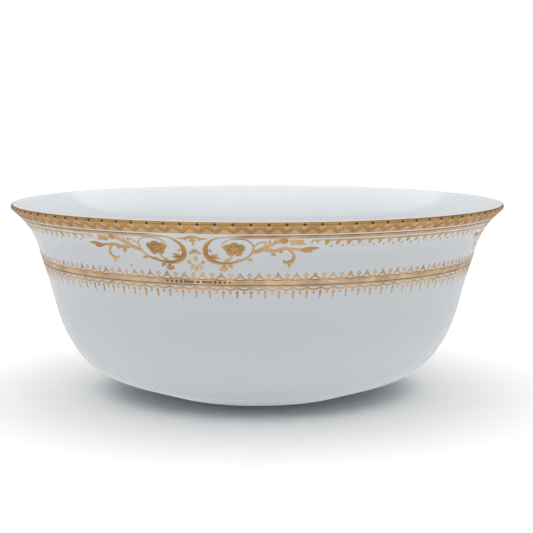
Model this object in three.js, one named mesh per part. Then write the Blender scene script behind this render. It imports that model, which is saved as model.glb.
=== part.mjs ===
// Porcelain serving bowl with gilded ornament.
// Millimetres, +Z up. The origin is the centre of the foot, on the table. The front of the bowl faces -Y.
// The bowl is one fired body. Its glaze and its gold ornament are thin layers, each a solid of its own.
import * as THREE from 'three';
import { NURBSCurve } from 'three/addons/curves/NURBSCurve.js';

// ---------------------------------------------------------------- driving dimensions
const RIM_RADIUS = 115;
const HEIGHT = 88.5;
const FOOT_RADIUS = 47.5;          // outer edge of the foot
const FOOT_RING_WIDTH = 4;         // bare ring that the bowl stands on
const RECESS_DEPTH = 2;            // hollow under the base
const LIP_THICKNESS = 2.6;
const WALL_THICKNESS = 3.6;
const BELLY_THICKNESS = 4.9;       // where the wall turns into the floor
const FLOOR_HEIGHT = 4.8;          // middle of the inside floor, above the table
const GLAZE = 0.3;                 // glaze coat
const GILT = 0.4;                  // gold ornament
const SEAM = 0.1;                  // between two skins with matching facets
const GILT_CLEARANCE = 0.3;        // gold ornament to the facets of the glaze
const SIDES = 48;                  // facets round the bowl
const LIP_STEPS = 3;               // facets over the lip

// Distances down the outside wall, from the lip.
const RIM_BAND_END = 4.1;
const NECK_LINE = [5.6, 6.6, 6.6];
const UPPER_LACE = [7.6, 8.2, 10.8];    // line top, line bottom, tips of the drops
const CROWN_LACE = [23, 25.8, 26.4];    // tips of the crowns, line top, line bottom
const LOWER_BAND = [26.7, 28.4];
const FINE_LINE = 29.1;
const PENDANT_TIPS = [32.5, 34.8];      // short drops, long pendants

// Repeats round the bowl.
const CARTOUCHES = [-13.7, 91, 218.6];  // centres, degrees from the front towards +X
const VOLUTE_HALF_ANGLE = 9;            // the neck line stops here
const CARTOUCHE_HALF_ANGLE = 27.5;      // the upper lace stops here
const LACE_PITCH = 2.53;                // degrees from drop to drop
const NECK_LINE_PITCH = 12;             // degrees covered by two straight pieces of the line
const CROWNS = 84;
const PENDANTS = 111;

// ---------------------------------------------------------------- outside wall
// A smooth curve from the lip down to the foot: flared lip, hollow neck, tapering wall, round belly.
const WALL_CONTROL = [
  [RIM_RADIUS - 0.5, HEIGHT - 2.2],
  [105.5, 78.5],
  [102.5, 66.5],
  [97.5, 52],
  [94, 34.5],
  [86.5, 20],
  [76.5, 9],
  [62, 5],
  [FOOT_RADIUS, 0],
];
const wall = wallCurve(WALL_CONTROL);
const WALL_LENGTH = wall.getLength();

function wallCurve(control) {
  const degree = 3;
  const spans = control.length - degree;
  const knots = [0, 0, 0];
  for (let i = 0; i <= spans; i++) knots.push(i / spans);
  knots.push(1, 1, 1);
  return new NURBSCurve(degree, knots, control.map(([r, z]) => new THREE.Vector4(r, z, 0, 1)));
}

// Radius and height of the wall at a distance from the lip, moved outwards by lift.
function wallPoint(distance, lift) {
  const along = THREE.MathUtils.clamp(distance / WALL_LENGTH, 0, 1);
  const point = wall.getPointAt(along);
  const tangent = wall.getTangentAt(along);
  return new THREE.Vector2(point.x - tangent.y * lift, point.y + tangent.x * lift);
}

// The half-round edge of the lip, from the outside wall over the crest to the inside wall.
function lipArc(inset) {
  const middle = wallPoint(0, -LIP_THICKNESS / 2);
  const tangent = wall.getTangentAt(0);
  const start = Math.atan2(tangent.x, -tangent.y);
  const points = [];
  for (let i = 0; i <= LIP_STEPS; i++) {
    const angle = start + Math.PI * i / LIP_STEPS;
    const radius = LIP_THICKNESS / 2 - inset;
    points.push(new THREE.Vector2(middle.x + radius * Math.cos(angle), middle.y + radius * Math.sin(angle)));
  }
  return points;
}

// The wall thickens smoothly under the lip, and again in the belly.
function thicknessAt(distance) {
  const neck = THREE.MathUtils.smoothstep(distance, 0, 30);
  const belly = THREE.MathUtils.smoothstep(distance, 70, FLOOR_START);
  return LIP_THICKNESS + (WALL_THICKNESS - LIP_THICKNESS) * neck + (BELLY_THICKNESS - WALL_THICKNESS) * belly;
}

// Distances from the lip at which the faceted wall bends.
const RIM_BAND_STEPS = [2, RIM_BAND_END];
const OUTSIDE_STEPS = [...RIM_BAND_STEPS, 9, 13.5, 19, ...LOWER_BAND, 44, 62, 78, 92, 105, 118];
const FLOOR_START = 105;
const INSIDE_STEPS = [7, 15, 28, 50, 70, 88, FLOOR_START];
const FLOOR_STEPS = [0.8, 0.5, 0];      // shares of the floor's radius
const FLOOR_POWER = 5;                  // how flat the middle of the floor is

function outsideProfile(inset) {
  return OUTSIDE_STEPS.map((distance) => wallPoint(distance, -inset));
}

// From the lip down to the middle of the floor, which is flat there and sweeps up into the wall.
function insideProfile(inset) {
  const points = INSIDE_STEPS.map((distance) => wallPoint(distance, inset - thicknessAt(distance)));
  const edge = points[points.length - 1];
  const middle = FLOOR_HEIGHT - inset;
  for (const share of FLOOR_STEPS) {
    const height = middle + (edge.y - middle) * share ** FLOOR_POWER;
    points.push(new THREE.Vector2(edge.x * share, height));
  }
  return points;
}

// From the middle of the floor over the lip to the foot, the given depth under the finished surface.
function shellProfile(inset) {
  const lip = lipArc(inset);
  const inside = insideProfile(inset).reverse();
  const outside = outsideProfile(inset);
  return [...inside, ...lip.reverse(), ...outside];
}

// ---------------------------------------------------------------- solids of revolution
function revolve(profile) {
  const geometry = new THREE.LatheGeometry(profile, SIDES);
  geometry.rotateX(Math.PI / 2);
  return geometry;
}

function porcelainBody() {
  const ringInner = FOOT_RADIUS - FOOT_RING_WIDTH;
  return revolve([
    ...shellProfile(GLAZE + SEAM),
    new THREE.Vector2(FOOT_RADIUS - 1, 0),
    new THREE.Vector2(ringInner, 0),
    new THREE.Vector2(ringInner - RECESS_DEPTH, RECESS_DEPTH),
    new THREE.Vector2(0, RECESS_DEPTH),
  ].reverse());
}

function glazeCoat() {
  return revolve([...shellProfile(0), ...shellProfile(GLAZE).reverse()].reverse());
}

function baseGlaze() {
  const radius = FOOT_RADIUS - FOOT_RING_WIDTH - RECESS_DEPTH;
  const top = RECESS_DEPTH - SEAM;
  return revolve([
    new THREE.Vector2(0, top),
    new THREE.Vector2(radius, top),
    new THREE.Vector2(radius - GLAZE, top - GLAZE),
    new THREE.Vector2(0, top - GLAZE),
  ].reverse());
}

// A gold ring laid on the glaze. The profile gives its face at any height above the glaze.
function goldRing(profile) {
  const inner = profile(SEAM);
  return revolve([...inner, ...profile(SEAM + GILT).reverse(), inner[0]]);
}

function rimBandProfile(lift) {
  const crest = lipArc(-lift).slice(0, 2).reverse();
  return [...crest, ...RIM_BAND_STEPS.map((distance) => wallPoint(distance, lift))];
}

function lowerBandProfile(lift) {
  return LOWER_BAND.map((distance) => wallPoint(distance, lift));
}

// ---------------------------------------------------------------- gold ornament wrapped on the wall
// A point of the ornament is [degrees round the bowl, distance down the wall].
function onWall([degrees, distance], lift) {
  const { x: radius, y: height } = wallPoint(distance, lift);
  const angle = THREE.MathUtils.degToRad(degrees);
  return [radius * Math.sin(angle), -radius * Math.cos(angle), height];
}

function solidFrom(positions, triangles) {
  const geometry = new THREE.BufferGeometry();
  geometry.setAttribute('position', new THREE.Float32BufferAttribute(positions.flat(), 3));
  geometry.setIndex(triangles.flat());
  return geometry;
}

// A thin solid between two edges, given from left to right. A ring joins its last point to its first.
function ribbon(upper, lower, ring = false) {
  const positions = [];
  upper.forEach((point, i) => {
    for (const lift of [GILT_CLEARANCE, GILT_CLEARANCE + GILT]) {
      positions.push(onWall(point, lift), onWall(lower[i], lift));
    }
  });
  const triangles = [];
  const face = (a, b, c, d) => triangles.push([a, b, c], [a, c, d]);
  const sections = ring ? upper.length : upper.length - 1;
  for (let i = 0; i < sections; i++) {
    const a = 4 * i;
    const b = 4 * ((i + 1) % upper.length);
    face(a + 2, a + 3, b + 3, b + 2);
    face(a, b, b + 1, a + 1);
    face(a, a + 2, b + 2, b);
    face(a + 1, b + 1, b + 3, a + 3);
  }
  if (!ring) {
    const last = 4 * (upper.length - 1);
    face(0, 1, 3, 2);
    face(last, last + 2, last + 3, last + 1);
  }
  return solidFrom(positions, triangles);
}

// A small thin solid with the given outline, anticlockwise as seen from outside, round a middle point.
function plate(middle, outline) {
  const count = outline.length;
  const positions = [];
  for (const lift of [GILT_CLEARANCE, GILT_CLEARANCE + GILT]) {
    positions.push(onWall(middle, lift), ...outline.map((point) => onWall(point, lift)));
  }
  const top = count + 1;
  const triangles = [];
  for (let i = 0; i < count; i++) {
    const a = 1 + i;
    const b = 1 + (i + 1) % count;
    triangles.push([0, b, a], [top, top + a, top + b], [a, b, top + b], [a, top + b, top + a]);
  }
  return solidFrom(positions, triangles);
}

// Millimetres along the neck, right of a cartouche's centre line, to degrees round the bowl.
const NECK_RADIUS = 108;
function besides(centre, across) {
  return centre + THREE.MathUtils.radToDeg(across / NECK_RADIUS);
}

// A brush stroke of changing width along a smooth curve. Each point is [across, distance, width].
function stroke(centre, mirror, points) {
  const curve = new THREE.CatmullRomCurve3(points.map(([x, y, width]) => new THREE.Vector3(x, y, width)));
  const upper = [];
  const lower = [];
  for (let i = 0; i <= SCROLL_STEPS; i++) {
    const at = curve.getPoint(i / SCROLL_STEPS);
    const tangent = curve.getTangent(i / SCROLL_STEPS);
    const side = new THREE.Vector2(tangent.y, -tangent.x).normalize().multiplyScalar(at.z / 2);
    upper.push([besides(centre, mirror * (at.x + side.x)), at.y + side.y]);
    lower.push([besides(centre, mirror * (at.x - side.x)), at.y - side.y]);
  }
  return mirror > 0 ? ribbon(upper, lower) : ribbon(lower, upper);
}

// From the neck line round the volute, then out and up along the stem to the leaf at its tip.
const SCROLL = [
  [14, 7, 0.6],
  [8.6, 7.7, 1.3],
  [5.2, 11.2, 2],
  [4.8, 15.8, 2.2],
  [10.2, 19.1, 1.6],
  [17.5, 18.3, 1.2],
  [24, 14.4, 1.3],
  [29.5, 12.5, 2],
  [36.8, 12.1, 1.3],
  [44, 12.8, 1.8],
  [51, 12.3, 0.5],
];
const SCROLL_STEPS = 20;

const FLOWER_MIDDLE = [16.6, 12.6];     // across, distance
const PETALS = 5;
const POINTS_PER_PETAL = 4;
const FLOWER_RADIUS = 3.4;
const PETAL_WAVE = 0.8;                 // petal tips stand out by this much, and gaps draw in

function flower(centre, mirror) {
  const middle = mirror * FLOWER_MIDDLE[0];
  const distance = FLOWER_MIDDLE[1];
  const outline = [];
  for (let i = 0; i < PETALS * POINTS_PER_PETAL; i++) {
    const turn = 2 * Math.PI * i / (PETALS * POINTS_PER_PETAL);
    const radius = FLOWER_RADIUS + PETAL_WAVE * Math.cos(PETALS * turn);
    outline.push([besides(centre, middle + radius * Math.sin(turn)), distance + radius * Math.cos(turn)]);
  }
  return plate([besides(centre, middle), distance], outline);
}

function bowBracket(centre) {
  const across = [-6.5, -4.5, -2, 0, 2, 4.5, 6.5];
  const top = [7, 6.9, 6.2, 5.6, 6.2, 6.9, 7];
  const bottom = [7.4, 7.6, 8.2, 9.3, 8.2, 7.6, 7.4];
  const edge = (depths) => across.map((x, i) => [besides(centre, x), depths[i]]);
  return ribbon(edge(top), edge(bottom));
}

function arrowhead(centre) {
  const outline = [[0, 12.5], [-2.3, 15], [0, 14.5], [2.3, 15]];
  return plate([centre, 13.7], outline.map(([x, y]) => [besides(centre, x), y]));
}

const BEAD_AT = 17.2;
const BEAD_RADIUS = 0.85;
const BEAD_SIDES = 8;

function bead(centre) {
  const outline = [];
  for (let i = 0; i < BEAD_SIDES; i++) {
    const turn = 2 * Math.PI * i / BEAD_SIDES;
    outline.push([besides(centre, BEAD_RADIUS * Math.sin(turn)), BEAD_AT + BEAD_RADIUS * Math.cos(turn)]);
  }
  return plate([centre, BEAD_AT], outline);
}

const DROPS = 5;
const DROP_ANGLE = 36;                  // degrees from drop to drop
const DROPS_ROOT = 19;
const DROP_REACH = 3.7;
const NOTCH_REACH = 1.2;                // of the notches between the drops

// Five drops spreading from one point, joined at their roots.
function dropFan(centre) {
  const outline = [[centre, DROPS_ROOT - 0.3]];
  for (let i = 0; i <= 2 * (DROPS - 1); i++) {
    const turn = THREE.MathUtils.degToRad(DROP_ANGLE * (i - DROPS + 1) / 2);
    const reach = i % 2 === 0 ? DROP_REACH : NOTCH_REACH;
    outline.push([besides(centre, reach * Math.sin(turn)), DROPS_ROOT + reach * Math.cos(turn)]);
  }
  return plate([centre, DROPS_ROOT + 0.4], outline);
}

// A ring of points all round the bowl, its depth taken in turn from the given list.
function repeatedEdge(repeats, depths) {
  const edge = [];
  for (let i = 0; i < repeats * depths.length; i++) {
    edge.push([360 * i / (repeats * depths.length), depths[i % depths.length]]);
  }
  return edge;
}

function crownLace() {
  const [tips, lineTop, lineBottom] = CROWN_LACE;
  return ribbon(repeatedEdge(CROWNS, [lineTop, tips]), repeatedEdge(CROWNS, [lineBottom, lineBottom]), true);
}

function pendantLace() {
  const line = [FINE_LINE, FINE_LINE];
  return ribbon(repeatedEdge(PENDANTS, line), repeatedEdge(PENDANTS, PENDANT_TIPS), true);
}

// A stretch of ornament between two cartouches. Every other point of its lower edge is the tip of a drop.
function laceRun(from, to, pitch, [top, line, tip]) {
  const points = 2 * Math.round((to - from) / pitch);
  const upper = [];
  const lower = [];
  for (let i = 0; i <= points; i++) {
    const degrees = from + (to - from) * i / points;
    upper.push([degrees, top]);
    lower.push([degrees, i % 2 === 0 ? line : tip]);
  }
  return ribbon(upper, lower);
}

// ---------------------------------------------------------------- assembly
const porcelain = new THREE.MeshStandardMaterial({ color: 0xeeede8, roughness: 0.8, metalness: 0 });
const glaze = new THREE.MeshStandardMaterial({ color: 0xe9eef0, roughness: 0.08, metalness: 0 });
const gold = new THREE.MeshStandardMaterial({ color: 0xb28f62, roughness: 0.3, metalness: 1 });

const bowl = new THREE.Group();

function add(name, geometry, material) {
  const mesh = new THREE.Mesh(geometry, material);
  mesh.name = name;
  bowl.add(mesh);
}

add('porcelain_body', porcelainBody(), porcelain);
add('glaze_coat', glazeCoat(), glaze);
add('base_glaze', baseGlaze(), glaze);
add('rim_gold_band', goldRing(rimBandProfile), gold);
add('lower_gold_band', goldRing(lowerBandProfile), gold);
add('crown_lace', crownLace(), gold);
add('pendant_lace', pendantLace(), gold);

CARTOUCHES.forEach((centre, i) => {
  const number = i + 1;
  for (const [side, mirror] of [['left', -1], ['right', 1]]) {
    add(`scroll_${side}_${number}`, stroke(centre, mirror, SCROLL), gold);
    add(`flower_${side}_${number}`, flower(centre, mirror), gold);
  }
  add(`bow_bracket_${number}`, bowBracket(centre), gold);
  add(`arrowhead_${number}`, arrowhead(centre), gold);
  add(`bead_${number}`, bead(centre), gold);
  add(`drop_fan_${number}`, dropFan(centre), gold);

  const next = i + 1 < CARTOUCHES.length ? CARTOUCHES[i + 1] : CARTOUCHES[0] + 360;
  const between = (margin, pitch, depths) => laceRun(centre + margin, next - margin, pitch, depths);
  add(`neck_gold_line_${number}`, between(VOLUTE_HALF_ANGLE, NECK_LINE_PITCH, NECK_LINE), gold);
  add(`upper_lace_${number}`, between(CARTOUCHE_HALF_ANGLE, LACE_PITCH, UPPER_LACE), gold);
});

export default bowl;
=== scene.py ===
"""Looks of a porcelain serving bowl with a gilded border.

Sizes in this file are millimetres in the frame of the CAD model, and become metres in new_mesh().
The ornament is drawn in its own flat coordinates: millimetres across, to the right as seen from outside,
and millimetres down the wall from the lip. It is then wrapped on the wall as thin raised solids.
"""

import math

import bpy
import numpy as np
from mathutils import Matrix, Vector


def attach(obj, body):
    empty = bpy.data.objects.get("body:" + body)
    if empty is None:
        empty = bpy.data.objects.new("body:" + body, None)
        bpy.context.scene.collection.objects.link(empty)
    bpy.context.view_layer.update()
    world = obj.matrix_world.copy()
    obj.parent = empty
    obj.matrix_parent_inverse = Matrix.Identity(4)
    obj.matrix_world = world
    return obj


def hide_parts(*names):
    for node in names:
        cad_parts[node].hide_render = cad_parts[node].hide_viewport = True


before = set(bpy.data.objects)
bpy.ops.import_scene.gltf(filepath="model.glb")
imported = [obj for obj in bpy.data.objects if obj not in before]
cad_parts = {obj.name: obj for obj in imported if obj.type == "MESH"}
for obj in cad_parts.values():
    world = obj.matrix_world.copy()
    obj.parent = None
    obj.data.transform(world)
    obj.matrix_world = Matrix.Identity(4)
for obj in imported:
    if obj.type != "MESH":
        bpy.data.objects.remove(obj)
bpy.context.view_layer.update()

MM = 0.001

# ---------------------------------------------------------------- driving dimensions
RIM_RADIUS = 115.0
HEIGHT = 88.5
FOOT_RADIUS = 47.5
FOOT_RING_WIDTH = 4.0
FOOT_BEVEL = 1.0  # the foot's outer edge is drawn in by this much at the table
RECESS_DEPTH = 2.0
LIP_THICKNESS = 2.6
WALL_THICKNESS = 3.6
BELLY_THICKNESS = 4.9
FLOOR_HEIGHT = 4.8
NECK_END = 30.0  # distance down the wall where the thin lip has grown into the wall
BELLY_START = 70.0  # distance where the wall begins to thicken again
FLOOR_START = 105.0  # distance where the inside floor begins
FLOOR_POWER = 5  # how flat the middle of the floor is
GLAZE = 0.3
SEAM = 0.1  # between the glaze and the porcelain
RECESS_MARGIN = 0.6  # bare edge round the glaze in the recess
RECESS_SEAM = 0.02  # between that glaze and the porcelain

# Radii of small rounded edges.
FOOT_EDGE = 0.35
RING_EDGE = 0.6  # between the bare ring and the slope of the recess
RECESS_EDGE = 1.2  # between that slope and the roof of the recess
GLAZE_EDGE = 0.25

WALL_CONTROL = [
    (RIM_RADIUS - 0.5, HEIGHT - 2.2),
    (105.5, 78.5),
    (102.5, 66.5),
    (97.5, 52.0),
    (94.0, 34.5),
    (86.5, 20.0),
    (76.5, 9.0),
    (62.0, 5.0),
    (FOOT_RADIUS, 0.0),
]

# Distances down the outside wall, from the start of the lip's round edge.
RIM_BAND = (-2.4, 4.15)
NECK_SHADOW = 5.25
NECK_LINE = 6.2
LACE_LINE = 7.9
LOWER_BAND = (26.7, 28.4)
GREY_LINE = 28.75
FINE_LINE = 29.35
SWAG_TOP = 29.6

# Repeats round the bowl. Angles are degrees from the front towards +X.
CARTOUCHES = (-13.7, 91.0, 218.6)
PEARLS, PEARL_START = 102, 2.28
CROWNS, CROWN_START = 84, 0.4
PENDANTS, PENDANT_START = 111, 1.85
LACE_PITCH = 2.53
LACE_ANGLE = 25.1  # from a cartouche's middle to the start of the lace
VOLUTE_TOP_ANGLE = 7.0  # from a cartouche's middle to the point where the neck line becomes a volute
NECK_RADIUS = 108.0  # turns millimetres across the ornament into an angle

GILT = 0.06  # height of the gold above the glaze
SUNK = 0.05  # depth of the gold's edges in the glaze
SECOND_COAT = GILT + 0.05  # height of gold painted over gold
THIRD_COAT = GILT + 0.09
BRUSH = 1.25  # how much broader the gilding is than its strokes are drawn

SEGMENTS = 256  # round the porcelain
RING_SECTIONS = 360  # round a gold ring
SHARP_DEGREES = 40  # edges that turn by more than this stay sharp


# ---------------------------------------------------------------- the wall
def b_spline(control, count):
    """Points on the clamped cubic B-spline of the control points."""
    control = np.array(control)
    degree = 3
    spans = len(control) - degree
    knots = np.concatenate([[0.0] * degree, np.linspace(0, 1, spans + 1), [1.0] * degree])
    u = np.linspace(0, 1 - 1e-9, count)
    basis = [((knots[i] <= u) & (u < knots[i + 1])).astype(float) for i in range(len(knots) - 1)]
    for d in range(1, degree + 1):
        raised = []
        for i in range(len(basis) - 1):
            value = np.zeros(count)
            if knots[i + d] > knots[i]:
                value += (u - knots[i]) / (knots[i + d] - knots[i]) * basis[i]
            if knots[i + d + 1] > knots[i + 1]:
                value += (knots[i + d + 1] - u) / (knots[i + d + 1] - knots[i + 1]) * basis[i + 1]
            raised.append(value)
        basis = raised
    return np.array(basis).T @ control


def lengths_along(points):
    steps = np.hypot(*np.diff(points, axis=0).T)
    return np.concatenate([[0.0], np.cumsum(steps)])


def outline_of_outside():
    """Distance, radius, height and outward normal from the inside edge of the lip to the foot."""
    down = b_spline(WALL_CONTROL, 4000)
    start = (down[1] - down[0]) / np.hypot(*(down[1] - down[0]))
    outward = np.array([-start[1], start[0]])
    half = LIP_THICKNESS / 2
    middle = down[0] - outward * half
    first = math.atan2(outward[1], outward[0])
    turns = np.linspace(math.pi, 0, 200, endpoint=False) + first
    lip = middle + half * np.stack([np.cos(turns), np.sin(turns)], axis=1)
    points = np.vstack([lip, down])
    distance = lengths_along(points) - half * math.pi
    along = np.gradient(points, axis=0)
    along /= np.hypot(*along.T)[:, None]
    return distance, points[:, 0], points[:, 1], -along[:, 1], along[:, 0]


DISTANCE, RADIUS_AT, HEIGHT_AT, NORMAL_R, NORMAL_Z = outline_of_outside()
WALL_LENGTH = DISTANCE[-1]
LIP_INSIDE = DISTANCE[0]


def on_profile(distance, lift):
    """Radius and height of the outside wall, moved outwards by lift."""
    radius = np.interp(distance, DISTANCE, RADIUS_AT) + lift * np.interp(distance, DISTANCE, NORMAL_R)
    height = np.interp(distance, DISTANCE, HEIGHT_AT) + lift * np.interp(distance, DISTANCE, NORMAL_Z)
    return radius, height


def smoothstep(value, low, high):
    t = np.clip((value - low) / (high - low), 0, 1)
    return t * t * (3 - 2 * t)


def thickness_at(distance):
    neck = smoothstep(distance, 0, NECK_END)
    belly = smoothstep(distance, BELLY_START, FLOOR_START)
    gained = (WALL_THICKNESS - LIP_THICKNESS) * neck + (BELLY_THICKNESS - WALL_THICKNESS) * belly
    return LIP_THICKNESS + gained


def skin_profile(inset):
    """From the middle of the inside floor over the lip to the foot, the given depth under the surface."""
    down_inside = np.linspace(0, FLOOR_START, 56)
    radius, height = on_profile(down_inside, inset - thickness_at(down_inside))
    share = np.linspace(0, 1, 14, endpoint=False)
    middle = FLOOR_HEIGHT - inset
    floor = np.stack([radius[-1] * share, middle + (height[-1] - middle) * share**FLOOR_POWER], axis=1)
    inside = np.stack([radius, height], axis=1)[::-1]
    over_lip = np.stack(on_profile(np.linspace(LIP_INSIDE, 0, 14)[1:-1], -inset), axis=1)
    outside = np.stack(on_profile(np.linspace(0, WALL_LENGTH, 76), -inset), axis=1)
    return np.vstack([floor, inside, over_lip, outside])


# ---------------------------------------------------------------- meshes
def new_mesh(name, points, faces, material):
    """A mesh object from points in millimetres, riding on the bowl."""
    data = bpy.data.meshes.new(name)
    data.from_pydata((np.asarray(points) * MM).tolist(), [], faces)
    data.materials.append(material)
    data.shade_smooth()
    data.set_sharp_from_angle(angle=math.radians(SHARP_DEGREES))
    piece = bpy.data.objects.new(name, data)
    bpy.context.scene.collection.objects.link(piece)
    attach(piece, "root")
    return piece


def revolved(name, profile, material):
    """A solid of revolution. The profile runs anticlockwise in (radius, height), from axis to axis."""
    points = []
    rows = []
    turns = np.linspace(0, 2 * math.pi, SEGMENTS, endpoint=False)
    for radius, height in profile:
        if radius < 1e-6:
            rows.append([len(points)] * SEGMENTS)
            points.append((0.0, 0.0, height))
        else:
            rows.append(list(range(len(points), len(points) + SEGMENTS)))
            points.extend(zip(radius * np.sin(turns), -radius * np.cos(turns), [height] * SEGMENTS))
    faces = []
    for row, following in zip(rows, rows[1:]):
        for k in range(SEGMENTS):
            n = (k + 1) % SEGMENTS
            corners = [row[k], row[n], following[n], following[k]]
            faces.append(list(dict.fromkeys(corners)))
    return new_mesh(name, points, faces, material)


def rounded_corner(corner, before, after, radius):
    """Points of a small round edge between two directions that meet at a corner."""
    corner, before, after = (np.array(p, float) for p in (corner, before, after))
    start = corner + radius * (before - corner) / np.hypot(*(before - corner))
    end = corner + radius * (after - corner) / np.hypot(*(after - corner))
    t = np.linspace(0, 1, 5)[:, None]
    return (1 - t) ** 2 * start + 2 * t * (1 - t) * corner + t**2 * end


def wrap(shape):
    """Points of the bowl from (angle, distance, lift) points."""
    angle, distance, lift = np.moveaxis(shape, -1, 0)
    radius, height = on_profile(distance, lift)
    return np.stack([radius * np.sin(angle), -radius * np.cos(angle), height], axis=-1)


def wrapped(name, shapes, material):
    """One mesh of many thin solids. Each shape is an array of sections, each a closed loop of points."""
    points = []
    faces = []
    count = 0
    for shape in shapes:
        sections, corners, _ = shape.shape
        ring = abs(shape[-1, 0, 0] - shape[0, 0, 0]) > math.pi
        index = count + np.arange(sections * corners).reshape(sections, corners)
        pairs = zip(index, np.roll(index, -1, axis=0)) if ring else zip(index[:-1], index[1:])
        for a, b in pairs:
            quads = np.stack([a, np.roll(a, -1), np.roll(b, -1), b], axis=1)
            faces.extend(quads.tolist())
        if not ring:
            faces.append(index[0][::-1].tolist())
            faces.append(index[-1].tolist())
        points.append(wrap(shape).reshape(-1, 3))
        count += sections * corners
    return new_mesh(name, np.vstack(points), faces, material)


# ---------------------------------------------------------------- drawing the ornament
# A section across a stroke: (share of the half width, share of the height), from one edge to the other.
CROWNED = [(-1, -1), (-1, 0.55), (-0.72, 0.9), (0, 1), (0.72, 0.9), (1, 0.55), (1, -1)]


def stroke(path, height=GILT):
    """A brush stroke along (across, distance, width) points."""
    path = np.asarray(path, float)
    along = np.gradient(path[:, :2], axis=0)
    along /= np.hypot(*along.T)[:, None]
    side = np.stack([-along[:, 1], along[:, 0]], axis=1) * path[:, 2:] / 2
    rows = []
    for share, rise in CROWNED:
        lift = np.full(len(path), rise * (height if rise > 0 else SUNK))
        rows.append(np.column_stack([path[:, :2] + share * side, lift]))
    return np.stack(rows, axis=1)


def smooth(points, steps=5):
    """A smooth path through the points, which may carry a width."""
    p = np.array(points, float)
    p = np.vstack([2 * p[0] - p[1], p, 2 * p[-1] - p[-2]])
    t = np.linspace(0, 1, steps, endpoint=False)[:, None]
    spans = []
    for a, b, c, d in zip(p, p[1:], p[2:], p[3:]):
        spans.append(b + 0.5 * t * (c - a + t * (2 * a - 5 * b + 4 * c - d + t * (3 * (b - c) + d - a))))
    return np.vstack([*spans, p[-2:-1]])


def curl(points, steps=5, height=GILT):
    path = smooth(points, steps)
    path[:, 2] *= BRUSH
    return stroke(path, height)


def leaf(root, tip, width, bend=0.0, fullest=0.5, height=GILT, blunt=0.75):
    """A leaf. bend moves its middle to the side, fullest is where it is widest, a low blunt rounds it."""
    root, tip = np.array(root, float), np.array(tip, float)
    t = np.linspace(0, 1, 9)
    side = np.array([-(tip - root)[1], (tip - root)[0]]) / np.hypot(*(tip - root))
    centre = root + t[:, None] * (tip - root) + (4 * t * (1 - t) * bend)[:, None] * side
    power = math.log(0.5) / math.log(fullest)
    widths = np.maximum(BRUSH * width * np.sin(math.pi * t**power) ** blunt, 0.05)
    return stroke(np.column_stack([centre, widths]), height)


def dot(at, radius, tall=1.0, height=GILT, steps=6):
    """A round bead, or an oval one if tall isn't 1."""
    turn = np.linspace(0, math.pi, steps + 1)
    across = at[0] + np.zeros(steps + 1)
    down = at[1] - radius * tall * np.cos(turn)
    return stroke(np.column_stack([across, down, np.maximum(2 * radius * np.sin(turn), 0.08)]), height)


def placed(shapes, centre, mirror=1):
    """Shapes moved to a centre angle in degrees, and mirrored left to right if mirror is -1."""
    moved = []
    for shape in shapes:
        copy = shape.copy()
        copy[..., 0] = math.radians(centre) + mirror * copy[..., 0] / NECK_RADIUS
        moved.append(copy if mirror > 0 else copy[:, ::-1])
    return moved


def repeated(shapes, repeats, start):
    """The shapes all round the bowl."""
    copies = []
    for i in range(repeats):
        copies.extend(placed(shapes, start + 360 * i / repeats))
    return copies


def ring(top, bottom, height=GILT, rows=1):
    """A gold ring round the bowl between two distances."""
    inner = [(d, height) for d in np.linspace(top, bottom, rows + 3)[1:-1]]
    corners = [(top, -SUNK), (top, 0.6 * height), *inner, (bottom, 0.6 * height), (bottom, -SUNK)]
    turns = np.linspace(0, 2 * math.pi, RING_SECTIONS, endpoint=False)
    section = np.array([(0.0, d, lift) for d, lift in corners])
    shape = np.repeat(section[None], RING_SECTIONS, axis=0)
    shape[..., 0] += turns[:, None]
    return shape


def line(start, end, distance, width, taper=0.5):
    """A level line between two angles in degrees, fading at its ends over taper degrees."""
    degrees = np.linspace(start, end, max(4, int(end - start) + 1))
    degrees = np.sort(np.concatenate([degrees, [start + taper, end - taper]]))
    fade = np.clip(np.minimum(degrees - start, end - degrees) / taper, 0.15, 1)
    across = np.radians(degrees) * NECK_RADIUS
    path = np.column_stack([across, np.full(len(degrees), distance), width * fade])
    return placed([stroke(path)], 0)[0]


# ---------------------------------------------------------------- materials
def new_material(name):
    material = bpy.data.materials.new(name)
    material.use_nodes = True
    nodes = material.node_tree.nodes
    return material, nodes, material.node_tree.links, nodes["Principled BSDF"]


def noise(nodes, links, scale, detail=2.0):
    """A noise texture fixed to the object, with its features about 1/scale metres across."""
    place = nodes.new("ShaderNodeTexCoord")
    texture = nodes.new("ShaderNodeTexNoise")
    texture.inputs["Scale"].default_value = scale
    texture.inputs["Detail"].default_value = detail
    links.new(place.outputs["Object"], texture.inputs["Vector"])
    return texture.outputs["Fac"]


def ramp(nodes, links, value, stops):
    """Colours, or greys, over a value from 0 to 1."""
    node = nodes.new("ShaderNodeValToRGB")
    elements = node.color_ramp.elements
    for element, (position, colour) in zip((elements[0], elements[-1]), (stops[0], stops[-1])):
        element.position = position
        element.color = (*colour, 1)
    for position, colour in stops[1:-1]:
        elements.new(position).color = (*colour, 1)
    links.new(value, node.inputs["Fac"])
    return node.outputs["Color"]


def bump(nodes, links, shader, value, depth, strength):
    """Relief of a depth in metres."""
    node = nodes.new("ShaderNodeBump")
    node.inputs["Distance"].default_value = depth
    node.inputs["Strength"].default_value = strength
    links.new(value, node.inputs["Height"])
    links.new(node.outputs["Normal"], shader.inputs["Normal"])


def grey(value):
    return (value, value, value)


def height_of(nodes, links, vector):
    """The Z of a vector."""
    split = nodes.new("ShaderNodeSeparateXYZ")
    links.new(vector, split.inputs["Vector"])
    return split.outputs["Z"]


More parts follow.
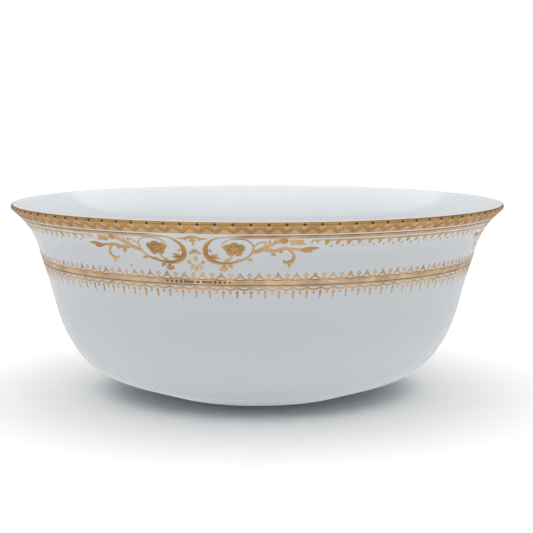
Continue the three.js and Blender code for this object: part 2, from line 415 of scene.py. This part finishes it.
def smooth_share(nodes, links, value, between):
    """From 0 to 1, softly, as the value goes from one end to the other."""
    share = nodes.new("ShaderNodeMapRange")
    share.interpolation_type = "SMOOTHSTEP"
    share.inputs["From Min"].default_value, share.inputs["From Max"].default_value = between
    links.new(value, share.inputs["Value"])
    return share.outputs["Result"]


def mixed(nodes, links, share, colour, other):
    """Two colours mixed. Each may be an output or a plain colour."""
    node = nodes.new("ShaderNodeMix")
    node.data_type = "RGBA"
    links.new(share, node.inputs["Factor"])
    for socket, source in ((node.inputs["A"], colour), (node.inputs["B"], other)):
        if isinstance(source, tuple):
            socket.default_value = (*source, 1)
        else:
            links.new(source, socket)
    return node.outputs["Result"]


def glaze_material():
    """Glossy white glaze: faint cool clouds, a slow ripple, and painted light: a paler tone low on the
    outside where the wall faces down, lifting the shade under the overhang.
    """
    material, nodes, links, shader = new_material("glaze")
    clouds = noise(nodes, links, 18, 3)
    # The glaze's own tone, and a paler one that is painted light on the low outside wall, lifting the shade
    # under the overhang.
    thin = ramp(nodes, links, clouds, [(0.3, (0.682, 0.708, 0.724)), (0.7, (0.697, 0.72, 0.734))])
    painted_light_low = ramp(nodes, links, clouds, [(0.3, (0.865, 0.887, 0.899)), (0.7, (0.88, 0.899, 0.909))])
    place = nodes.new("ShaderNodeTexCoord")
    low = smooth_share(nodes, links, height_of(nodes, links, place.outputs["Object"]), (0.045, 0.0))
    outside = smooth_share(nodes, links, height_of(nodes, links, place.outputs["Normal"]), (0.05, -0.15))
    # Painted light goes where the wall is low and faces down.
    painted_light_mask = nodes.new("ShaderNodeMath")
    painted_light_mask.operation = "MULTIPLY"
    links.new(low, painted_light_mask.inputs[0])
    links.new(outside, painted_light_mask.inputs[1])
    links.new(mixed(nodes, links, painted_light_mask.outputs["Value"], thin, painted_light_low), shader.inputs["Base Color"])
    sheen = ramp(nodes, links, noise(nodes, links, 60, 2), [(0.3, grey(0.10)), (0.7, grey(0.16))])
    links.new(sheen, shader.inputs["Roughness"])
    shader.inputs["IOR"].default_value = 1.5
    bump(nodes, links, shader, noise(nodes, links, 120, 1), 0.00002, 0.6)
    return material


def speck_material():
    """An iron speck fired into the glaze: dark grey and dull."""
    material, nodes, links, shader = new_material("speck")
    tone = ramp(nodes, links, noise(nodes, links, 3000, 3), [(0.3, grey(0.12)), (0.7, (0.22, 0.21, 0.19))])
    links.new(tone, shader.inputs["Base Color"])
    shader.inputs["Roughness"].default_value = 0.35
    return material


def biscuit_material():
    """Bare fired porcelain: matt, off white, finely grained, a little soiled."""
    material, nodes, links, shader = new_material("biscuit")
    soil = noise(nodes, links, 240, 6)
    tone = ramp(nodes, links, soil, [(0.35, (0.62, 0.60, 0.55)), (0.65, (0.78, 0.77, 0.74))])
    links.new(tone, shader.inputs["Base Color"])
    shader.inputs["Roughness"].default_value = 0.85
    bump(nodes, links, shader, noise(nodes, links, 3000, 4), 0.00008, 0.8)
    return material


def gold_material(name, worn, bright, rough):
    """Fired gold: a satin metal, with cloudy wear and a fine stipple."""
    material, nodes, links, shader = new_material(name)
    tone = ramp(nodes, links, noise(nodes, links, 110, 7), [(0.34, worn), (0.64, bright)])
    links.new(tone, shader.inputs["Base Color"])
    shader.inputs["Metallic"].default_value = 1.0
    low, high = rough
    satin = ramp(nodes, links, noise(nodes, links, 900, 3), [(0.3, grey(low)), (0.7, grey(high))])
    links.new(satin, shader.inputs["Roughness"])
    bump(nodes, links, shader, noise(nodes, links, 5000, 2), 0.00002, 0.5)
    return material


GLAZE_LOOK = glaze_material()
SPECK_LOOK = speck_material()
BISCUIT_LOOK = biscuit_material()
GOLD = gold_material("gold", (0.60, 0.36, 0.165), (0.86, 0.565, 0.295), (0.3, 0.45))
PALE_GOLD = gold_material("pale_gold", (0.61, 0.38, 0.19), (0.96, 0.685, 0.41), (0.3, 0.45))
GROUND_GOLD = gold_material("ground_gold", (0.62, 0.375, 0.145), (0.76, 0.475, 0.205), (0.45, 0.6))
COPPER_GOLD = gold_material("copper_gold", (0.76, 0.46, 0.24), (0.88, 0.57, 0.32), (0.45, 0.6))
CHASED_GOLD = gold_material("chased_gold", (0.41, 0.24, 0.085), (0.52, 0.315, 0.125), (0.45, 0.6))
DEEP_GOLD = gold_material("deep_gold", (0.53, 0.315, 0.115), (0.70, 0.43, 0.18), (0.35, 0.5))
# Dark gold: printed shading for the bead-and-reel, and painted shade for the top line of the rim band.
SHADE_AND_PRINT_GOLD = gold_material("shade_and_print_gold", (0.28, 0.16, 0.058), (0.38, 0.23, 0.10), (0.4, 0.6))
# Near-black gold on the pearls' tops: a painted dark reflection.
PEARL_REFLECTION_GOLD = gold_material("pearl_reflection_gold", (0.12, 0.06, 0.024), (0.19, 0.105, 0.045), (0.45, 0.65))
GREY_GOLD = gold_material("grey_gold", (0.245, 0.215, 0.16), (0.365, 0.325, 0.25), (0.45, 0.65))


# ---------------------------------------------------------------- the porcelain
def porcelain():
    """The fired body, with the three edges of its foot rounded."""
    ring_inner = FOOT_RADIUS - FOOT_RING_WIDTH
    foot_corner = (FOOT_RADIUS - FOOT_BEVEL, 0.0)
    ring_corner = (ring_inner, 0.0)
    recess_corner = (ring_inner - RECESS_DEPTH, RECESS_DEPTH)
    skin = skin_profile(GLAZE + SEAM)
    foot = np.vstack(
        [
            rounded_corner(foot_corner, skin[-1], ring_corner, FOOT_EDGE),
            rounded_corner(ring_corner, foot_corner, recess_corner, RING_EDGE),
            rounded_corner(recess_corner, ring_corner, (0, RECESS_DEPTH), RECESS_EDGE),
            [(0.0, RECESS_DEPTH)],
        ]
    )
    piece = revolved("biscuit_body", np.vstack([skin, foot])[::-1], BISCUIT_LOOK)
    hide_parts("porcelain_body")


def glaze():
    """The glaze over the outside, the lip and the inside."""
    outer = skin_profile(0.0)
    inner = skin_profile(GLAZE)
    piece = revolved("glaze_skin", np.vstack([outer, inner[::-1]])[::-1], GLAZE_LOOK)
    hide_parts("glaze_coat")


def recess_glaze():
    """The glaze under the base, ending in a thin rounded edge inside the bare ring."""
    radius = FOOT_RADIUS - FOOT_RING_WIDTH - RECESS_DEPTH - RECESS_MARGIN
    top = RECESS_DEPTH - RECESS_SEAM
    low = RECESS_DEPTH - GLAZE
    edge = rounded_corner((radius, low), (0, low), (radius, top), GLAZE_EDGE)
    profile = np.vstack([[(0.0, low)], edge, [(radius, top), (0.0, top)]])
    piece = revolved("recess_glaze", profile, GLAZE_LOOK)
    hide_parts("base_glaze")


def speck():
    """A small dark fault in the glaze, between the scrollwork and the lower border."""
    spot = placed([dot((30.9, 21.7), 0.38, height=0.01)], CARTOUCHES[0], -1)
    piece = wrapped("glaze_speck", spot, SPECK_LOOK)


# ---------------------------------------------------------------- the gold on the rim
def gilded(name, shapes, material, *nodes):
    """A piece of gold ornament. It may stand for CAD nodes."""
    piece = wrapped(name, shapes, material)
    if nodes:
        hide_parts(*nodes)


def rim_border():
    """A gold band between two lines, the top one darkened as painted shade over the crest, with pearls under
    painted dark reflections in double chevrons and copper points between the pearls.
    """
    top, bottom = RIM_BAND
    half = math.pi * NECK_RADIUS / PEARLS
    gilded("rim_band", [ring(top, bottom, rows=8)], GROUND_GOLD, "rim_gold_band")
    # Painted shade: the top line is dark gold to hold down the overhead light's highlight on the crest of
    # the lip.
    gilded("rim_top_painted_shade", [ring(top - 0.02, top + 0.65, SECOND_COAT)], SHADE_AND_PRINT_GOLD)
    gilded("rim_bottom_line", [ring(bottom - 0.28, bottom + 0.02, SECOND_COAT)], GROUND_GOLD)
    pearl = leaf((0, -1.1), (0, 1.9), 2.1, fullest=0.38, height=SECOND_COAT + 0.05, blunt=1.0)
    # The dark top of each pearl is a painted dark reflection of the dim front.
    pearl_dark_reflection = leaf((0, -1.75), (0, -0.7), 1.0, fullest=0.4, height=SECOND_COAT + 0.06)
    gilded("rim_pearls", repeated([pearl], PEARLS, PEARL_START), COPPER_GOLD)
    gilded("rim_pearl_painted_reflections", repeated([pearl_dark_reflection], PEARLS, PEARL_START), PEARL_REFLECTION_GOLD)
    chevrons = []
    for side in (-1, 1):
        inner = [(1.9 * side, -0.6, 0.3), (1.5 * side, 0.9, 0.42), (0, 2.85, 0.42)]
        outer = [(half * side, 0.1, 0.3), (1.9 * side, 1.9, 0.34), (0, 4.0, 0.36)]
        chevrons.append(stroke(inner, SECOND_COAT))
        chevrons.append(stroke(outer, SECOND_COAT))
    gilded("rim_chevrons", repeated(chevrons, PEARLS, PEARL_START), CHASED_GOLD)
    point = stroke([(half, 0.9, 0.1), (half, 2.3, 2.2), (half, 3.85, 5.2)], SECOND_COAT - 0.02)
    gilded("rim_points", repeated([point], PEARLS, PEARL_START), COPPER_GOLD)


# ---------------------------------------------------------------- the cartouches
# Strokes of the right half, as (across, distance, width) from the middle of the cartouche outwards.
# From the neck line down the thick back of the volute, under the flower, up and over it to its left petal.
VOLUTE = [
    (15.5, 6.0, 0.8),
    (12.0, 6.3, 0.6),
    (9.3, 6.9, 0.7),
    (6.9, 8.7, 1.2),
    (5.1, 11.0, 1.5),
    (4.4, 13.5, 1.6),
    (4.9, 16.1, 1.7),
    (6.8, 18.2, 1.5),
    (10.2, 19.2, 1.2),
    (13.8, 19.1, 0.9),
    (17.3, 18.4, 0.8),
    (20.4, 17.3, 0.75),
    (22.7, 15.6, 0.7),
    (24.1, 13.3, 0.8),
    (24.4, 11.3, 0.7),
    (23.5, 9.3, 0.6),
    (21.7, 7.8, 0.6),
    (19.2, 7.1, 0.55),
    (16.5, 7.2, 0.55),
    (14.1, 7.9, 0.5),
    (12.4, 9.3, 0.5),
    (11.7, 11.0, 0.5),
    (12.0, 12.3, 0.6),
]

CRESCENT = [
    (8.6, 7.4, 0.2),
    (6.6, 9.2, 0.7),
    (5.0, 11.6, 1.0),
    (4.5, 13.8, 1.1),
    (5.1, 16.2, 1.2),
    (7.0, 18.1, 1.1),
    (10.2, 19.1, 0.8),
    (14.0, 19.0, 0.5),
    (16.4, 18.5, 0.2),
]

CRESCENT_SHADE = [
    (8.0, 8.2, 0.1),
    (6.2, 10.3, 0.25),
    (5.3, 12.8, 0.3),
    (5.5, 15.3, 0.35),
    (7.2, 17.6, 0.45),
    (10.4, 18.9, 0.45),
    (14.0, 18.9, 0.2),
]

UPPER_STEM = [
    (24.2, 14.0, 1.2),
    (26.6, 13.1, 1.5),
    (28.8, 12.0, 1.6),
    (31.0, 10.6, 1.2),
    (33.4, 9.2, 1.0),
    (36.0, 8.3, 1.4),
]
LOWER_STEM = [
    (28.4, 12.2, 1.8),
    (30.6, 12.8, 1.6),
    (33.0, 13.2, 1.2),
    (35.0, 12.6, 1.3),
    (36.9, 12.1, 1.3),
    (39.2, 12.3, 1.0),
    (41.6, 12.6, 0.9),
    (44.0, 12.7, 1.0),
]
LOOP = [
    (24.6, 11.4, 0.4),
    (25.6, 10.0, 0.6),
    (27.3, 8.9, 0.7),
    (28.8, 8.7, 0.8),
    (29.2, 9.6, 0.7),
    (28.6, 10.9, 0.5),
]
HATCHES = [
    [(30.9, 7.3, 0.4), (30.8, 8.9, 0.8), (30.2, 10.6, 0.6)],
    [(33.4, 7.2, 0.4), (32.8, 8.6, 0.8), (31.8, 9.9, 0.6)],
]
FLOWER_STEM = [(12.9, 18.6, 0.7), (14.3, 17.4, 0.6), (15.2, 16.3, 0.55), (15.6, 15.2, 0.5)]
HOOK = [
    (38.0, 12.4, 0.7),
    (39.6, 13.6, 0.9),
    (40.8, 15.3, 1.0),
    (41.0, 16.9, 1.2),
    (40.1, 18.2, 1.3),
    (38.6, 18.7, 1.2),
    (37.3, 18.4, 1.1),
    (36.6, 17.6, 0.5),
]
HOOK_SHADE = [(40.7, 15.6, 0.2), (40.7, 17.0, 0.6), (39.7, 18.0, 0.6), (38.2, 18.3, 0.2)]

FLOWER_MIDDLE = (16.6, 12.5)
PETALS = 5
PETAL_REACH = 4.0
FLOWER_WIDE, FLOWER_TALL = 1.18, 0.88


def scroll_shapes():
    """The volute with its leaves, the two stems that leave it, and what grows on them."""
    return [
        curl(VOLUTE),
        leaf((5.2, 12.9), (7.4, 14.0), 1.0, bend=-0.1, height=GILT + 0.01),
        leaf((5.2, 16.4), (10.0, 15.0), 1.3, bend=0.3, height=GILT + 0.015),
        leaf((5.6, 16.6), (10.4, 16.8), 1.5, bend=0.1, height=GILT + 0.02),
        leaf((12.0, 18.3), (14.6, 17.3), 1.0, height=GILT + 0.01),
        curl(FLOWER_STEM, height=GILT + 0.012),
        leaf((16.2, 18.3), (19.3, 17.2), 1.1, bend=0.2, height=GILT + 0.01),
        leaf((11.9, 19.4), (11.8, 23.0), 1.6, fullest=0.6, height=GILT + 0.01),
        leaf((11.8, 21.2), (9.9, 22.2), 1.5, height=GILT + 0.02),
        leaf((11.9, 21.2), (13.6, 21.9), 1.5, height=GILT + 0.022),
        leaf((13.0, 19.2), (15.6, 21.3), 1.4, bend=-0.2, height=GILT + 0.015),
        leaf((20.9, 16.8), (24.1, 17.4), 1.1, bend=0.35, fullest=0.65, height=GILT + 0.015),
        curl(UPPER_STEM, height=GILT + 0.012),
        curl(LOWER_STEM, height=GILT + 0.018),
        curl(LOOP, height=GILT + 0.008),
        *[curl(points, height=GILT + 0.01) for points in HATCHES],
        leaf((35.2, 7.0), (33.6, 9.0), 0.8, height=GILT + 0.014),
        leaf((31.6, 13.4), (33.5, 15.4), 1.6, bend=0.3, height=GILT + 0.022),
        leaf((34.6, 13.0), (36.2, 14.2), 1.2, height=GILT + 0.02),
        leaf((38.0, 8.0), (44.8, 8.0), 1.0, bend=0.1, height=GILT + 0.012),
        leaf((39.0, 8.1), (45.5, 10.4), 1.3, bend=-0.4, height=GILT + 0.016),
        leaf((38.8, 8.4), (43.6, 10.3), 1.3, bend=-0.1, height=GILT + 0.02),
        leaf((38.4, 8.5), (41.4, 10.4), 1.2, bend=0.2, height=GILT + 0.024),
        curl(HOOK, height=GILT + 0.01),
        leaf((39.0, 18.6), (39.3, 21.2), 1.0, bend=-0.15, height=GILT + 0.02),
    ]


def scroll_shading():
    """The deep gold of the volute's back and of the hook, the bud, and the leaf pair at the tip."""
    return [
        curl(CRESCENT, height=SECOND_COAT),
        curl(HOOK_SHADE, height=SECOND_COAT),
        dot((36.5, 8.2), 1.6, tall=0.9, height=SECOND_COAT),
        leaf((43.2, 12.7), (51.4, 12.2), 1.4, bend=-0.15, height=SECOND_COAT),
        leaf((42.8, 12.9), (48.6, 13.7), 1.3, bend=0.2, height=SECOND_COAT + 0.01),
    ]


def scroll_veins():
    """The fine dark lines on the crescent, its leaves and the stalk under it."""
    return [
        curl(CRESCENT_SHADE, height=THIRD_COAT),
        leaf((6.2, 16.5), (9.4, 16.5), 0.6, height=THIRD_COAT),
        leaf((11.9, 19.6), (11.9, 20.9), 0.6, height=THIRD_COAT),
    ]


def around_flower(turn, reach):
    """A point round the flower's middle, its turn counted clockwise from the top."""
    across = FLOWER_MIDDLE[0] + FLOWER_WIDE * reach * math.sin(turn)
    return (across, FLOWER_MIDDLE[1] - FLOWER_TALL * reach * math.cos(turn))


def flower_shapes():
    shapes = []
    for i in range(PETALS):
        turn = 2 * math.pi * i / PETALS
        height = GILT + 0.006 * i
        root, tip = around_flower(turn, 0.3), around_flower(turn, PETAL_REACH)
        shapes.append(leaf(root, tip, 2.9, fullest=0.62, height=height, blunt=0.5))
    return shapes


def flower_shading():
    """Veins between and along the petals."""
    raised = GILT + 0.06
    shapes = []
    for i in range(PETALS):
        along = 2 * math.pi * i / PETALS
        between = along + math.pi / PETALS
        shapes.append(leaf(around_flower(between, 1.3), around_flower(between, 2.8), 0.7, height=raised))
        shapes.append(leaf(around_flower(along, 1.4), around_flower(along, 2.8), 0.3, height=raised + 0.01))
    return shapes


def flower_heart():
    return [dot(FLOWER_MIDDLE, 1.25, height=THIRD_COAT)]


def centre_bow():
    """A bracket in the shape of a bow, its small side lobes and the palmette that hangs from it."""
    wing = [(0, 6.1, 1.3), (1.6, 6.5, 1.2), (3.2, 7.1, 0.9), (4.8, 7.2, 0.7), (6.5, 7.1, 0.25)]
    shapes = [leaf((0, 6.2), (0, 9.6), 1.3, fullest=0.6, height=GILT + 0.02), dot((0, 10.4), 0.6)]
    for side in (-1, 1):
        shapes.append(curl([(side * x, y, w) for x, y, w in wing]))
        shapes.append(leaf((side * 3.2, 7.0), (side * 2.7, 8.5), 1.0, height=GILT + 0.01))
        shapes.append(leaf((side * 0.2, 7.4), (side * 1.3, 9.0), 0.9, height=GILT + 0.015))
    return shapes


def centre_arrow():
    """A solid point between two wings that flare out to the sides."""
    shapes = [leaf((0, 12.0), (0, 15.0), 2.0, fullest=0.7, blunt=1.2)]
    for side in (-1, 1):
        wing = [(0.2, 13.3, 1.0), (1.2, 14.2, 1.2), (2.1, 14.8, 0.8), (2.7, 15.1, 0.25)]
        shapes.append(curl([(side * x, y, w) for x, y, w in wing], height=GILT + 0.01))
    return shapes


def centre_drops():
    shapes = [leaf((0, 19.9), (0, 23.0), 1.3, fullest=0.6)]
    for side in (-1, 1):
        shapes.append(leaf((side * 1.0, 19.5), (side * 2.4, 22.0), 1.2, fullest=0.6))
        shapes.append(leaf((side * 1.9, 20.0), (side * 3.7, 18.1), 1.2, fullest=0.6))
    return shapes


def cartouche(number, centre):
    for side, mirror in (("left", -1), ("right", 1)):
        tag = f"{side}_{number}"
        gilded(f"scrollwork_{tag}", placed(scroll_shapes(), centre, mirror), GOLD, f"scroll_{tag}")
        gilded(f"scroll_shading_{tag}", placed(scroll_shading(), centre, mirror), DEEP_GOLD)
        gilded(f"scroll_veins_{tag}", placed(scroll_veins(), centre, mirror), CHASED_GOLD)
        gilded(f"blossom_{tag}", placed(flower_shapes(), centre, mirror), DEEP_GOLD, f"flower_{tag}")
        gilded(f"blossom_veins_{tag}", placed(flower_shading(), centre, mirror), CHASED_GOLD)
        gilded(f"blossom_heart_{tag}", placed(flower_heart(), centre, mirror), GROUND_GOLD)
    gilded(f"centre_bow_{number}", placed(centre_bow(), centre), GOLD, f"bow_bracket_{number}")
    gilded(f"centre_arrow_{number}", placed(centre_arrow(), centre), GOLD, f"arrowhead_{number}")
    gilded(f"centre_bead_{number}", placed([dot((0, 17.2), 1.05)], centre), GOLD, f"bead_{number}")
    gilded(f"centre_drops_{number}", placed(centre_drops(), centre), GOLD, f"drop_fan_{number}")


# ---------------------------------------------------------------- between the cartouches
def neck_ornament(number, centre, following):
    """The neck line with a grey line above it, and under it the lace of rounded drops, arches and dots."""
    start, end = centre + VOLUTE_TOP_ANGLE, following - VOLUTE_TOP_ANGLE
    neck = line(start, end, NECK_LINE, 1.3, taper=3)
    gilded(f"neck_line_{number}", [neck], GOLD, f"neck_gold_line_{number}")
    gilded(f"neck_shadow_{number}", [line(start + 1, end - 1, NECK_SHADOW, 0.5, taper=3)], GREY_GOLD)
    lace_start, lace_end = centre + LACE_ANGLE, following - LACE_ANGLE
    gilded(f"lace_run_{number}", lace(lace_start, lace_end), GOLD, f"upper_lace_{number}")


def lace(start, end):
    """Drops joined by small arches under a line, with a dot between each two."""
    end_gap = 3.46  # degrees from the start of the line to the first drop
    shapes = [line(start, end, LACE_LINE, 0.5)]
    drops = round((end - start - 2 * end_gap) / LACE_PITCH)
    pitch = (end - start - 2 * end_gap) / drops
    half = math.radians(pitch / 2) * NECK_RADIUS
    drop = curl([(0.1, 8.0, 1.35), (0, 9.0, 1.3), (0, 10.0, 1.1), (-0.1, 10.8, 0.4)], 3, GILT + 0.02)
    left = [(0.6, 9.1, 0.3), (1.3, 8.5, 0.35), (half, 8.3, 0.3)]
    right = [(2 * half - x, down, width) for x, down, width in left[1::-1]]
    arch = curl(left + right, 3)
    spot = dot((half, 11.2), 0.5)
    hook = curl([(1.6, 8.3, 0.3), (0.4, 8.5, 0.45), (0.2, 9.2, 0.5), (0.9, 9.5, 0.3)], 3)
    foot = leaf((2.8, 7.9), (2.6, 9.7), 1.0, height=GILT + 0.01)
    shapes.extend(placed([hook, foot], start))
    shapes.extend(placed([hook, foot], end, -1))
    for i in range(drops + 1):
        unit = [drop] if i == drops else [drop, arch, spot]
        shapes.extend(placed(unit, start + end_gap + i * pitch))
    return shapes


# ---------------------------------------------------------------- the lower border
def lower_border():
    gilded("lower_band", [ring(*LOWER_BAND, rows=2)], PALE_GOLD, "lower_gold_band")
    gilded("dark_lines", [ring(GREY_LINE - 0.2, GREY_LINE + 0.2, GILT + 0.01)], GREY_GOLD)
    gilded("crown_lacework", repeated(crown(), CROWNS, CROWN_START), GOLD, "crown_lace")
    gilded("crown_shadows", repeated([crown_shadow()], CROWNS, CROWN_START), CHASED_GOLD)
    fine = [ring(FINE_LINE - 0.25, FINE_LINE + 0.25)]
    gilded("swag_lacework", fine + repeated(pendant(), PENDANTS, PENDANT_START), GOLD, "pendant_lace")
    beads = []
    for centre in CARTOUCHES:
        beads.extend(placed(bead_and_reel(), centre))
    gilded("bead_and_reel", beads, SHADE_AND_PRINT_GOLD)


def crown():
    """A little tower with flared feet, then a cluster of four dots over a low bump."""
    half = math.pi * NECK_RADIUS / CROWNS
    foot = [(0.1, 23.7, 0.4), (0.7, 24.8, 0.6), (1.7, 25.8, 0.55), (3.1, 26.5, 0.4)]
    shapes = [leaf((0, 23.0), (0, 25.5), 1.0, fullest=0.5, height=GILT + 0.02)]
    for side in (-1, 1):
        shapes.append(curl([(side * across, down, width) for across, down, width in foot], 3))
        shapes.append(dot((half + 0.7 * side, 24.4), 0.4, steps=4))
        shapes.append(dot((half, 24.4 + 0.7 * side), 0.4, steps=4))
    shapes.append(curl([(half - 1.9, 26.5, 0.4), (half, 26.1, 0.8), (half + 1.9, 26.5, 0.4)], 3))
    return shapes


def crown_shadow():
    """The dark line on the band's top edge, between a tower's feet."""
    return stroke([(-2.4, 26.52, 0.2), (-1.2, 26.5, 0.4), (1.2, 26.5, 0.4), (2.4, 26.52, 0.2)])


def pendant():
    """A swag to the next cusp, the long pendant under this cusp, and the short drop after it."""
    half = math.pi * NECK_RADIUS / PENDANTS
    left = [(0, SWAG_TOP, 0.5), (0.9, 30.3, 0.6), (half, 30.85, 0.7)]
    right = [(2 * half - across, down, width) for across, down, width in left[1::-1]]
    return [
        curl(left + right, 3),
        leaf((0, 29.3), (0, 31.0), 0.8, fullest=0.35, height=GILT + 0.02),
        leaf((0, 31.1), (0, 33.0), 1.15, height=GILT + 0.01, blunt=0.6),
        leaf((0, 32.8), (0, 35.0), 0.7, fullest=0.3),
        dot((half, 32.1), 0.6, steps=4),
    ]


def bead_and_reel():
    """Spaced beads that grow towards a close row, and a lozenge between two close rows."""
    middle = sum(LOWER_BAND) / 2
    shapes = [leaf((-1.0, middle), (1.0, middle), 1.0, height=SECOND_COAT)]
    for side in (-1, 1):
        for i in range(5):
            shapes.append(dot((side * (2.3 + 0.9 * i), middle), 0.6, height=SECOND_COAT))
        for i in range(4):
            shapes.append(dot((side * (7.6 + 2.15 * i), middle), 0.72 - 0.06 * i, height=SECOND_COAT))
    return shapes


# ---------------------------------------------------------------- studio
CAMERA_DISTANCE = 632.0  # from the bowl's axis
CAMERA_HEIGHT = 135.3
CAMERA_PITCH = 7.07  # degrees below level
LENS = 90.1  # on a sensor 36 wide
FRAMING_SHIFT = 0.0173  # of the frame's width: the bowl stands a little left of the middle
FLOOR_RADIUS = 0.9  # metres


def camera():
    data = bpy.data.cameras.new("camera")
    data.lens = LENS
    data.sensor_width = 36
    data.shift_x = FRAMING_SHIFT
    data.clip_end = 50
    view = bpy.data.objects.new("camera", data)
    view.location = (0, -CAMERA_DISTANCE * MM, CAMERA_HEIGHT * MM)
    view.rotation_euler = (math.radians(90 - CAMERA_PITCH), 0, 0)
    bpy.context.scene.collection.objects.link(view)
    bpy.context.scene.camera = view


def hang(data, place, target):
    """A light at a place in metres, aimed at a target."""
    light = bpy.data.objects.new(data.name, data)
    light.location = place
    aim = Vector(target) - light.location
    light.rotation_euler = aim.to_track_quat("-Z", "Y").to_euler()
    bpy.context.scene.collection.objects.link(light)
    return light


def overhead_light():
    """A broad soft light over the bowl."""
    data = bpy.data.lights.new("overhead", "AREA")
    data.shape = "DISK"
    data.size = 3.0
    data.energy = 30
    hang(data, place=(0, 0, 1.3), target=(0, 0, HEIGHT * MM / 2))


def inside_light():
    """A soft spot from over the camera that falls only on the inside of the far wall."""
    data = bpy.data.lights.new("inside", "SPOT")
    data.energy = 7.0
    data.shadow_soft_size = 0.08
    data.spot_size = math.radians(13)
    data.spot_blend = 1.0
    light = hang(data, place=(0, -0.7, 0.75), target=(0, 0.088, 0.055))
    light.visible_glossy = False


# Light that comes from each side of the studio: dim and cool in front, brighter to the sides, white behind.
FRONT_LIGHT = (0.095, 0.12, 0.14)
SIDE_LIGHT = (0.39, 0.405, 0.41)
BACK_LIGHT = (0.62, 0.63, 0.64)
TOP_LIGHT = (0.46, 0.46, 0.46)
LOW_LIGHT = (0.74, 0.75, 0.76)  # from below, seen mostly in the gloss, which the floor is kept out of


def studio_light():
    """A soft surround. The camera itself sees plain white behind the bowl."""
    world = bpy.data.worlds.new("studio")
    world.use_nodes = True
    bpy.context.scene.world = world
    nodes, links = world.node_tree.nodes, world.node_tree.links
    place = nodes.new("ShaderNodeTexCoord")
    split = nodes.new("ShaderNodeSeparateXYZ")
    links.new(place.outputs["Generated"], split.inputs["Vector"])
    depth = nodes.new("ShaderNodeMapRange")
    depth.inputs["From Min"].default_value = -1
    links.new(split.outputs["Y"], depth.inputs["Value"])
    stops = [(0.1, FRONT_LIGHT), (0.5, SIDE_LIGHT), (0.9, BACK_LIGHT)]
    round_about = ramp(nodes, links, depth.outputs["Result"], stops)
    upwards = smooth_share(nodes, links, split.outputs["Z"], (0.35, 1.0))
    downwards = smooth_share(nodes, links, split.outputs["Z"], (0.0, -0.15))
    above = mixed(nodes, links, upwards, round_about, TOP_LIGHT)
    surround = mixed(nodes, links, downwards, above, LOW_LIGHT)
    seen_by_camera = nodes.new("ShaderNodeLightPath").outputs["Is Camera Ray"]
    background = mixed(nodes, links, seen_by_camera, surround, (1.0, 1.0, 1.0))
    links.new(background, nodes["Background"].inputs["Color"])


def pale_floor():
    """A round white floor, kept out of the gloss of the bowl."""
    bpy.ops.mesh.primitive_circle_add(vertices=96, radius=FLOOR_RADIUS, fill_type="NGON")
    floor = bpy.context.object
    floor.name = "floor"
    material, nodes, links, shader = new_material("floor")
    tone = ramp(nodes, links, noise(nodes, links, 1.5), [(0.3, grey(0.97)), (0.7, grey(0.99))])
    links.new(tone, shader.inputs["Base Color"])
    shader.inputs["Roughness"].default_value = 0.9
    shader.inputs["Specular IOR Level"].default_value = 0.1
    floor.data.materials.append(material)
    floor.visible_glossy = False


def studio():
    pale_floor()
    studio_light()
    overhead_light()
    inside_light()
    bpy.context.scene.view_settings.view_transform = "Standard"


# ---------------------------------------------------------------- assembly
porcelain()
glaze()
recess_glaze()
speck()
rim_border()
for i, centre in enumerate(CARTOUCHES):
    following = CARTOUCHES[i + 1] if i + 1 < len(CARTOUCHES) else CARTOUCHES[0] + 360
    cartouche(i + 1, centre)
    neck_ornament(i + 1, centre, following)
lower_border()
camera()
studio()
